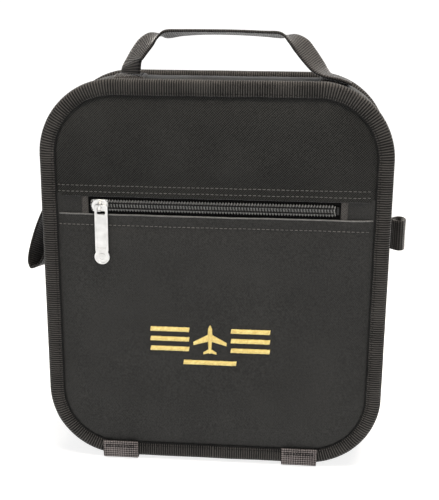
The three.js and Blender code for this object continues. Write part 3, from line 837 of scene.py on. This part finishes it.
def make_walls():
    wall_cloth("wall_cloth_front", ZIP_FIRST, ZIP_LAST, WALL_FRONT, ZIP_EDGE_FRONT,
               [(ZIP_EDGE_FRONT, -1)], "bag", "side_wall_front", 1)
    wall_cloth("wall_cloth_back", ZIP_FIRST, ZIP_LAST, ZIP_EDGE_BACK, WALL_BACK,
               [(ZIP_EDGE_BACK, 1)], "lid", "side_wall_back", 2)
    wall_cloth("wall_cloth_bottom", ZIP_LAST - PERIMETER + 0.3, ZIP_FIRST - 0.3, WALL_FRONT, 31.2,
               [], "bag", "bottom_wall", 3)


def make_lid_web():
    """Cloth that joins the lid to the bottom wall, up to the zip's ends: folded away while it is shut."""
    folds = [(y, 8.8 + 0.12 * (i % 2)) for i, y in enumerate(spread(30.5, 31.4, 0.09))]
    distances = spread(ZIP_LAST + 0.5 - PERIMETER, ZIP_FIRST - 0.5, 3)
    web = swept("lid_web", distances, lambda s: folds, closed=False)
    dress(web, CLOTH)
    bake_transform(web)


def wall_patch(name, first, last, y0, y1, material, node):
    """A piece sewn flat on the side wall, from first to last round the outline, with a crossed box
    of stitches."""
    ys = spread(y0, y1, 2)

    def profile(s):
        lift = 1.25 * (1 - math.exp(-min(s - first, last - s) / 0.5)) + 0.12
        outer = []
        for y in ys:
            thinning = 0.5 * math.exp(-min(y - y0, y1 - y) / 0.4)
            outer.append((y, wall_inside(y) - lift * (1 - thinning) - 0.1))
        return outer + [(y, wall_inside(y) - 0.05) for y in reversed(ys)]

    stations = [first, first + 0.3, *spread(first + 1, last - 1, 2), last - 0.3, last]
    wear(swept(name, stations, profile), "bag", material, [node])
    margin = 2.4
    a, b = (first + margin, y0 + margin), (last - margin, y0 + margin)
    c, d = (last - margin, y1 - margin), (first + margin, y1 - margin)
    lines = []
    for (s0, ya), (s1, yb) in ((a, b), (b, c), (c, d), (d, a), (a, c), (b, d)):
        points, normals = [], []
        for t in spread(0, 1, 0.25):
            point, out, _ = wall_frame(s0 + (s1 - s0) * t, ya + (yb - ya) * t, -1.35)
            points.append(tuple(point))
            normals.append(tuple(out))
        lines += stitch_lines(points, normals, 2.0, 0.8)
    wear(tubes(f"{name}_stitches", lines, 0.25), "bag", BLACK_THREAD_AND_GROOVE_SHADE)


# ---- back and linings
def flat_cloth(name, y, towards, edge, puff, material, body, nodes, seed):
    """A padded panel that faces towards y and ends a distance inside the outline. It is pinched at
    the binding where it runs under it, or at its own edge."""
    goes_under = edge < BINDING_W
    pinch = BINDING_W if goes_under else edge
    sewn_to = BINDING_W + 0.5 if goes_under else edge + 3
    xs = spread(-HALF_WIDTH + edge, HALF_WIDTH - edge, 3)
    zs = spread(BOTTOM + edge, TOP - edge, 3)
    rows = []
    for z in zs:
        row = []
        for x in xs:
            d = max(depth_inside(x, z) - pinch, 0)
            wave = 0.6 * drift(x / 55, z / 45, seed) + 0.2 * drift(x / 20, z / 20, seed)
            rise = puff * (1 - math.exp(-d / 10)) + wave * min(1, d / 12)
            row.append((x, y + towards * rise, z))
        rows.append(row)
    panel = skin(name, rows, u=zs, v=xs)
    trim(panel, edge - 0.6)
    settle(panel, lambda p: depth_inside(p.x, p.z) < sewn_to, 1.2 * towards, 1.4)
    wear(panel, body, material, nodes)


def make_back_and_linings():
    back_nodes = ["back_panel", "back_padding"]
    flat_cloth("back_cloth", BACK - 1.3, 1, 2.5, 1.4, CLOTH, "lid", back_nodes, 4)
    for side, y, towards, edge, body, seed in (
        ("back", BACK - 8.0, -1, 11.6, "lid", 5),
        ("front", FRONT + 8.0, 1, 11.0, "bag", 6),
    ):
        name, nodes = f"{side}_lining_cloth", [f"{side}_lining"]
        flat_cloth(name, y, towards, edge, 0.8, LINING, body, nodes, seed)


# ---- sliders and pullers
SLIDER_FACE = FRONT + 0.15  # the pocket slider's own zero, on its zip
PULLER_AXIS = 2.5  # how far out of its slider's own zero a puller swings
POCKET_PULLER_LEAN, MAIN_PULLER_LEAN = math.radians(-1), math.radians(-6)
PULLER_LENGTH = 41
DISC_R = 5.3
DISC_Y = -PULLER_LENGTH + DISC_R
FLANGE = ((-5.2, 3.25), (-5.2, 4.1), (5.2, 4.1), (5.2, 3.25))
BAIL = [(-3.0, 0.9), (-3.0, 3.4), (-2.1, 4.7), (2.1, 4.7), (3.0, 3.4), (3.0, 0.9)]  # its outer edge
BAIL += [(1.8, 0.9), (1.8, 3.0), (1.4, 3.6), (-1.4, 3.6), (-1.8, 3.0), (-1.8, 0.9)]  # and its inner one


def pocket_place(x, across, up):
    """The pocket slider's own frame: along its zip, across it and out of it."""
    return (SLIDER_X + 0.8 + x, SLIDER_FACE - up, ZIP_Z + across)


def main_place(x, across, up):
    """The main slider's own frame: up along its zip, across it and out of it."""
    return (-MAIN_COIL_X - up, MAIN_ZIP_Y + across, MAIN_SLIDER_Z + x)


def leaning(y, up, lean):
    """(along, out) for a point of a puller that leans about its axis."""
    return y * math.cos(lean) - up * math.sin(lean), up * math.cos(lean) + y * math.sin(lean)


def pocket_puller_place(x, y, up):
    along, out = leaning(y, up, POCKET_PULLER_LEAN)
    return (SLIDER_X + 1.7 + x, SLIDER_FACE - PULLER_AXIS - out, ZIP_Z + along)


def main_puller_place(x, y, up):
    along, out = leaning(y, up, MAIN_PULLER_LEAN)
    return (-MAIN_COIL_X - PULLER_AXIS - out, MAIN_ZIP_Y + x, MAIN_SLIDER_Z + along)


def make_slider(name, place, bail_place, flange_sides, body):
    """A slider's shaped plate, its side flanges, and the arch that holds the puller."""
    shape = circle(-1.4, 0, 4.6, 50, 310) + [(3.4, -4.2), (5.3, -2.6), (5.3, 2.6), (3.4, 4.2)]

    def domed(x, y, up):
        dome = 0.3 * max(0, 1 - ((x + 1) / 5.5) ** 2 - (y / 5) ** 2) if up > -0.2 else 0
        return place(x, y, up + 0.7 + dome)

    wear(plate(f"{name}_body", [shape], 1.1, 0.4, domed), body, NICKEL, [body])
    for letter, side in flange_sides:
        edge = [(side * x, side * y) for x, y in FLANGE]
        flange = plate(f"{name}_body_flange_{letter}", [edge], 1.7, 0.2,
                       lambda x, y, up: place(x, y, up - 0.2))
        wear(flange, body, NICKEL)
    wear(plate(f"{name}_body_bail", [BAIL], 1.9, 0.35, bail_place), body, NICKEL)


def puller_outline():
    """The strip with its round end, seen from the front, with y down its length."""
    half_width, narrowed = 4.6, 4.6 - 0.4
    neck = math.degrees(math.acos(narrowed / DISC_R))
    shoulder = DISC_Y + math.sqrt(DISC_R**2 - narrowed**2)
    right = [(half_width - 0.7, 0.9), (half_width, 0.2), (half_width, shoulder + 1.6), (narrowed, shoulder)]
    disc = circle(0, DISC_Y, DISC_R, neck, -180 - neck)
    return right + disc[1:-1] + [(-x, y) for x, y in reversed(right)]


def make_puller(body, place):
    """A stamped puller: a base, a rim raised round its strip and its disc, and a small ring."""
    outer, slot = puller_outline(), rounded(-2.8, -5.6, 2.8, -0.75, 0.8)
    strip = rounded(-3.2, DISC_Y + DISC_R + 1.0, 3.2, -7.2, 1.0)
    disc = circle(0, DISC_Y, DISC_R - 1.1)
    ring = [circle(0, DISC_Y, 2.5), circle(0, DISC_Y, 1.8)]
    for part, outlines, thickness, bevel, level, nodes in (
        ("", [outer, slot], 1.0, 0.25, -0.25, [body]),
        ("_rim", [outer, slot, strip, disc], 0.7, 0.2, 0.45, []),
        ("_ring", ring, 0.6, 0.15, 0.4, []),
    ):
        piece = plate(f"{body}_tag{part}", outlines, thickness, bevel,
                      lambda x, y, up: place(x, y, up + level))
        wear(piece, body, NICKEL, nodes)


def make_zip_furniture():
    """The main slider has a flange on the front row's side only, so that the lid's row can leave it."""
    both_sides, front_side = (("a", 1), ("b", -1)), (("b", -1),)
    make_slider("pocket_slider", pocket_place, lambda a, b, up: pocket_place(up, a, b), both_sides,
                "pocket_slider")
    make_puller("pocket_puller", pocket_puller_place)
    make_slider("main_slider", main_place, lambda a, b, up: main_place(a, up, b), front_side,
                "main_slider")
    make_puller("main_puller", main_puller_place)


# ---- badge
BADGE_X, BADGE_Z = -2.0, 96.5
UNDERLINE_Z = 79.5
BAR_HEIGHT = 3.4
THREAD_PITCH = 0.46


def satin(low, high, above=0.0):
    """One thread of satin stitch from low to high, (x, z) from the badge's middle, arched out of the
    cloth."""
    (x0, z0), (x1, z1) = low, high
    line = []
    for t in (0, 0.12, 0.5, 0.88, 1):
        x, z = x0 + (x1 - x0) * t, z0 + (z1 - z0) * t
        swell = -0.1 if t in (0, 1) else 0.42 + 0.2 * math.sin(math.pi * t)
        line.append(on_front(BADGE_X + x, BADGE_Z + z, swell + above))
    return line


def bar_threads(x0, x1, z):
    lines = []
    for x in spread(x0, x1, THREAD_PITCH):
        middle = z + random.uniform(-0.12, 0.12)
        lines.append(satin((x - 0.25, middle - BAR_HEIGHT / 2), (x + 0.25, middle + BAR_HEIGHT / 2)))
    return lines


def between(table, value):
    """Linear interpolation in a table of (value, result) pairs."""
    keys, results = zip(*table)
    return float(np.interp(value, keys, results))


def aeroplane_threads():
    """A plain aeroplane from above: swept wings and tail, with its fuselage over them."""
    lines = []
    for side in (1, -1):
        for x in spread(1.2, 11.4, THREAD_PITCH):
            low, high = between([(1.2, -1.2), (11.5, -4.0)], x), between([(1.2, 4.2), (11.5, -1.6)], x)
            lines.append(satin((side * x, low), (side * (x + 0.2), high)))
        for x in spread(0.8, 4.4, THREAD_PITCH):
            low, high = between([(0.8, -9.8), (4.4, -10.5)], x), between([(0.8, -6.6), (4.4, -9.0)], x)
            lines.append(satin((side * x, low), (side * x, high)))
    for z in spread(-9.6, 10.8, THREAD_PITCH):
        half = between([(-9.6, 0.7), (-6, 1.15), (4, 1.6), (8.5, 1.4), (10.8, 0.4)], z)
        lines.append(satin((-half, z), (half, z + 0.15), 0.25))
    return lines


def make_badge():
    def sew(name, lines, nodes):
        wear(tubes(name, lines, 0.27), "bag", GOLD, nodes)

    sew("badge_aeroplane_stitch", aeroplane_threads(), ["badge_aeroplane"])
    for name, x0, x1 in (("left", -42, -15), ("right", 15, 42)):
        lines = []
        for row in (-1, 0, 1):
            lines += bar_threads(x0, x1, row * 7.2)
        sew(f"badge_bars_{name}_stitch", lines, [f"badge_bar_{name}_{k}" for k in (1, 2, 3)])
    sew("badge_underline_stitch", bar_threads(-18.5, 18.5, UNDERLINE_Z - BADGE_Z), ["badge_underline"])


# ---- webbing
PATCH_FACE = wall_inside(STRAP_Y) - PATCH_STAND  # the patches' outer face, inside the outline
LOOP_W, LOOP_T = 21.5, 1.5
LEFT_LOOP_TOP, RIGHT_LOOP_Z = 184, 168.5
HANDLE = [  # (x, height over the patches, and the direction across the webbing)
    (-61.6, 0.5, -0.75, 0.66, 0.00),
    (-61.4, 2.6, -0.75, 0.66, -0.05),
    (-61.0, 5.8, -0.74, 0.67, -0.25),
    (-60.4, 7.8, -0.72, 0.69, -0.33),
    (-59.4, 9.6, -0.62, 0.76, -0.10),
    (-56.4, 14.2, -0.47, 0.84, 0.30),
    (-52.0, 19.8, -0.44, 0.85, 0.34),
    (-47.2, 23.8, -0.26, 0.90, 0.34),
    (-42.0, 26.2, -0.08, 0.98, 0.05),
    (-36.5, 27.3, -0.02, 0.97, -0.26),
    (-26.0, 28.4, 0.00, 0.98, -0.20),
    (-10.0, 29.0, 0.00, 0.99, -0.15),
    (10.0, 29.0, 0.00, 0.99, -0.15),
    (30.0, 28.3, 0.00, 0.99, -0.17),
    (42.0, 27.5, 0.02, 0.98, -0.18),
    (49.5, 25.4, 0.20, 0.94, 0.18),
    (55.8, 20.8, 0.42, 0.84, 0.30),
    (61.5, 14.0, 0.44, 0.84, 0.28),
    (67.0, 7.4, 0.40, 0.88, 0.22),
    (71.5, 3.2, 0.26, 0.95, 0.12),
    (76.0, 0.8, 0.08, 1.00, 0.03),
    (81.0, -0.5, 0.00, 1.00, 0.00),
    (86.0, -2.0, 0.00, 1.00, 0.00),
    (90.0, -3.7, 0.00, 1.00, 0.00),
]
LEFT_LOOP = [  # (out of the wall, height from its top, twist)
    (1.3, -2, 0), (1.6, -12, 0.02), (2.4, -24, 0.06), (3.7, -34, 0.15), (6, -42, 0.3), (8.8, -45.8, 0.45),
    (11.4, -46, 0.5), (12.9, -43, 0.52), (12.7, -38.5, 0.52), (11.6, -32, 0.48), (9.6, -22, 0.36),
    (7.4, -12, 0.2), (5.2, -4, 0.06), (4.4, -1.5, 0),
]
RIGHT_LOOP = [(2.4, 1.2), (4.2, 3.6), (6.4, 6.0), (8.6, 7.2), (10.8, 6.2), (12.1, 3.6)]  # (out, y), one half
FOOT = [  # (y, z) over the front's lip and on under the bag
    (-40.8, 14.0), (-41.1, 9), (-41.2, 4.6), (-40.4, 1.9), (-38.1, 0.86), (-32.1, 0.8), (-20, 0.8),
    (0, 0.8), (18, 0.8), (26, 0.86), (29.0, 1.9), (30.2, 4.6), (30.4, 8.4),
]


def webbing_patch(name, node, middle, y_reach, below=11, above=11):
    first, last = middle - below, middle + above
    wall_patch(name, first, last, STRAP_Y - y_reach, STRAP_Y + y_reach, STRAP_WEBBING, node)


def make_handle():
    """A band of webbing that stands on its two sewn ends and twists over to lie flat on top."""
    base = TOP - PATCH_FACE
    stations = [(x, STRAP_Y, base + up, *across) for x, up, *across in HANDLE]
    band = strap("handle_band", stations, 20, 2.0)
    dress(band, STRAP_WEBBING, ["handle"])
    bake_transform(band)
    for name, x in (("left", -62), ("right", 80)):
        webbing_patch(f"handle_pad_{name}", f"handle_patch_{name}", PERIMETER / 2 - x, 10)


def make_loops():
    """The left loop hangs down and turns to the front, and the right one stands out."""
    wall = HALF_WIDTH - PATCH_FACE
    top = LEFT_LOOP_TOP
    left = [(-wall - out, STRAP_Y, top + z, twist, 1 - twist / 4, 0) for out, z, twist in LEFT_LOOP]
    both = [(out, -y) for out, y in RIGHT_LOOP] + [(12.5, 0)] + RIGHT_LOOP[::-1]
    right = [(wall + out, STRAP_Y + y, RIGHT_LOOP_Z, 0, 0, 1) for out, y in both]
    for name, stations in (("side_loop_left", left), ("side_loop_right", right)):
        wear(strap(f"{name}_band", stations, LOOP_W, LOOP_T), name, STRAP_WEBBING, [name])
    left_top = PERIMETER - right_side(LEFT_LOOP_TOP)
    webbing_patch("loop_pad_left", "loop_patch_left", left_top, 11, below=14, above=4)
    webbing_patch("loop_pad_right", "loop_patch_right", right_side(RIGHT_LOOP_Z), 8)
    for name, end, sign in (("right", ZIP_FIRST, -1), ("left", ZIP_LAST, 1)):
        first, last = sorted((end + sign * 0.3, end + sign * 17.3))
        wall_patch(f"zip_end_pad_{name}", first, last, 10, 26, CLOTH, f"main_zip_end_{name}")


def make_feet():
    """Webbing that is sewn over the lower edge of the front and runs on under the bag."""
    for name, x in (("left", -68), ("right", 63)):
        foot = strap(f"foot_band_{name}", [(x, y, z, 1, 0, 0) for y, z in FOOT], 25.6, 1.5)
        wear(foot, "bag", WEBBING, [f"foot_strap_{name}"])
        lines = []
        for z in (11.2, 10.1):
            points = [(x + dx, FRONT - 1.82, z) for dx in spread(-11.5, 11.5, 4)]
            lines += stitch_lines(points, FORWARD, 1.7, 0.5)
        wear(tubes(f"foot_stitches_{name}", lines, 0.28), "bag", BLACK_THREAD_AND_GROOVE_SHADE)


# ---- studio
CAMERA_AZIMUTH, CAMERA_HEIGHT_ANGLE, CAMERA_ROLL = (math.radians(a) for a in (4.82, 16.48, 0.40))
CAMERA_DISTANCE = 0.700
CAMERA_TARGET = (0.0, 0.0, 138.1)
FOCAL_PER_FRAME = 952 / 500
SHIFT = (0.0021, 0.0336)
WHITE = (1, 1, 1, 1)
WORLD_GLOW = 0.2
SWEEP_GLOW, SWEEP_GLOW_FRONT = 0.78, 0.15
SWEEP_FADE = (-2.6, -0.7)  # from the front's glow to the back's, in metres
FLOOR_R, WALL_R, WALL_TOP = 2000, 2800, 1700


def make_camera():
    toward = Vector((
        math.sin(CAMERA_AZIMUTH) * math.cos(CAMERA_HEIGHT_ANGLE),
        -math.cos(CAMERA_AZIMUTH) * math.cos(CAMERA_HEIGHT_ANGLE),
        math.sin(CAMERA_HEIGHT_ANGLE),
    ))
    right = Vector((math.cos(CAMERA_AZIMUTH), math.sin(CAMERA_AZIMUTH), 0))
    up = toward.cross(right)
    right, up = (
        right * math.cos(CAMERA_ROLL) + up * math.sin(CAMERA_ROLL),
        up * math.cos(CAMERA_ROLL) - right * math.sin(CAMERA_ROLL),
    )
    data = bpy.data.cameras.new("camera")
    data.sensor_width = 36
    data.lens = FOCAL_PER_FRAME * data.sensor_width
    data.shift_x, data.shift_y = SHIFT
    camera = bpy.data.objects.new("camera", data)
    bpy.context.scene.collection.objects.link(camera)
    turn = camera.matrix_world.to_3x3()
    for row in range(3):
        turn[row] = (right[row], up[row], toward[row])
    camera.matrix_world = turn.to_4x4()
    camera.location = at(*CAMERA_TARGET) + toward * CAMERA_DISTANCE
    bpy.context.scene.camera = camera


def area_light(name, place, target, size, power, colour):
    data = bpy.data.lights.new(name, "AREA")
    data.shape = "RECTANGLE"
    data.size, data.size_y = size
    data.energy = power
    data.color = colour
    light = bpy.data.objects.new(name, data)
    bpy.context.scene.collection.objects.link(light)
    light.location = place
    light.rotation_euler = (Vector(target) - Vector(place)).to_track_quat("-Z", "Y").to_euler()


def make_studio():
    """A pale round sweep that glows a little, a warm light over the bag and a cool fill in front of it."""
    bend_r = WALL_R - FLOOR_R
    bend = [(r, 0) for r in (1, 600, 1300, FLOOR_R)]
    for t in spread(0.15, math.pi / 2, 0.15):
        bend.append((FLOOR_R + bend_r * math.sin(t), bend_r - bend_r * math.cos(t)))
    bend.append((WALL_R, WALL_TOP))
    turns = spread(0, 2 * math.pi, math.radians(6))[:-1]
    rows = [[(r * math.cos(t), r * math.sin(t), z) for r, z in bend] for t in turns]
    sweep = skin("sweep", rows, loop_rows=True)
    sweep.location.z = -0.0002
    s = Shader("pale_sweep", 0.9, specular=0.1)
    s.colours(s.grain(400, 2.0), (0.44, 0.44, 0.44), (0.47, 0.47, 0.47))
    s.out.inputs["Emission Color"].default_value = WHITE
    glow = s.remap(s.split(s.place)[1], *SWEEP_FADE, SWEEP_GLOW_FRONT, SWEEP_GLOW)
    s.join(glow, s.out.inputs["Emission Strength"])
    sweep.data.materials.append(s.material)
    world = bpy.data.worlds.new("studio")
    world.use_nodes = True
    background = world.node_tree.nodes["Background"]
    background.inputs["Color"].default_value = WHITE
    background.inputs["Strength"].default_value = WORLD_GLOW
    bpy.context.scene.world = world
    bpy.context.scene.view_settings.view_transform = "Standard"
    area_light("light_over", (0.1, -0.05, 1.05), (0, 0, 0.2), (0.8, 0.45), 20, (1.0, 0.92, 0.83))
    area_light("light_front", (0.15, -1.3, 0.25), (0.02, 0, 0.03), (0.8, 0.5), 3, (0.97, 0.98, 1.0))


binding("front_binding_tape", FRONT, 1, "bag", "front_binding")
binding("back_binding_tape", BACK, -1, "lid", "back_binding")
make_pocket()
make_pocket_tabs()
make_pocket_zip()
make_walls()
make_lid_web()
make_main_zip()
make_back_and_linings()
make_zip_furniture()
make_badge()
make_handle()
make_loops()
make_feet()
make_camera()
make_studio()
